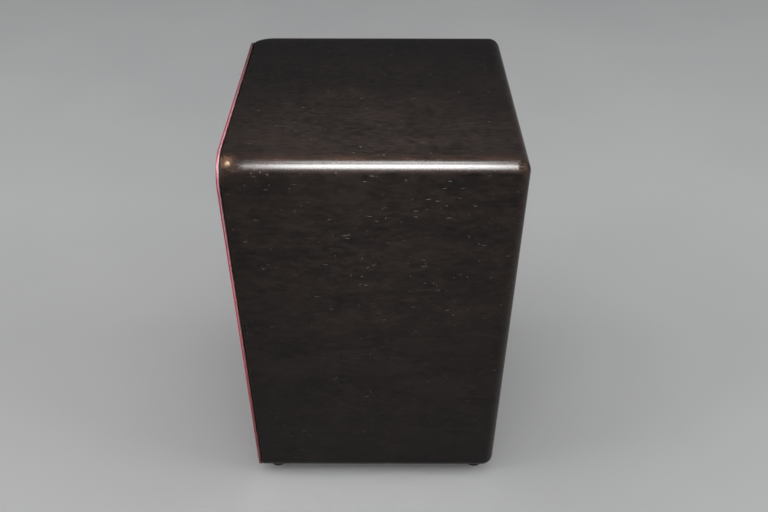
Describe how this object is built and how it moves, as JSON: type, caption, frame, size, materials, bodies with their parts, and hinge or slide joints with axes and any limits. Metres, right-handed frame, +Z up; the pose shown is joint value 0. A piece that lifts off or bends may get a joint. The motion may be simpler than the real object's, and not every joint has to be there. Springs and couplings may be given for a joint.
{
  "type": "cajon",
  "caption": "Wooden box drum to sit on, with a screwed front plate, a round sound hole in the back, inner snares and rubber feet.",
  "frame": {"origin": "on the floor, at the middle of the footprint", "axes": "+Z up towards the seat; the front plate (tapa) faces -Y; the sound hole faces +Y; +X is on the right when looking at the tapa from in front"},
  "size_m": [0.3, 0.301, 0.47],
  "materials": {
    "stained_shell": "dark espresso stain under satin lacquer outside, bare wood inside",
    "stained_back": "dark espresso stain under satin lacquer outside, bare wood inside",
    "tapa_veneer": "wine-red veneer under satin lacquer on a pale ply core",
    "raw_wood": "bare planed wood",
    "birch_ply": "bare plywood",
    "black_screw": "black oxide",
    "zinc_steel": "zinc plated",
    "snare_steel": "bright drawn wire and strip",
    "felt": "dense felt",
    "rubber": "moulded matt rubber"
  },
  "bodies": {
    "root": {"back_cleat_bottom": "raw_wood", "back_cleat_left": "raw_wood", "back_cleat_right": "raw_wood", "back_cleat_top": "raw_wood", "back_panel": "stained_back", "back_panel_screws": "black_screw", "bottom_panel": "stained_shell", "corner_block_bottom_left": "raw_wood", "corner_block_bottom_right": "raw_wood", "corner_block_top_left": "raw_wood", "corner_block_top_right": "raw_wood", "foot_back_left": "rubber", "foot_back_right": "rubber", "foot_front_left": "rubber", "foot_front_right": "rubber", "foot_screws": "zinc_steel", "foot_washers": "zinc_steel", "mitre_spline_bottom_left": "birch_ply", "mitre_spline_bottom_right": "birch_ply", "mitre_spline_top_left": "birch_ply", "mitre_spline_top_right": "birch_ply", "side_panel_left": "stained_shell", "side_panel_right": "stained_shell", "snare_bar": "raw_wood", "snare_bar_screws": "zinc_steel", "snare_block_left": "raw_wood", "snare_block_right": "raw_wood", "snare_damper_pad": "felt", "snare_plate_left": "snare_steel", "snare_plate_right": "snare_steel", "snare_plate_screws": "zinc_steel", "snare_wires_left": "snare_steel", "snare_wires_right": "snare_steel", "tapa": "tapa_veneer", "tapa_screws": "black_screw", "top_panel": "stained_shell"}
  },
  "joints": []
}
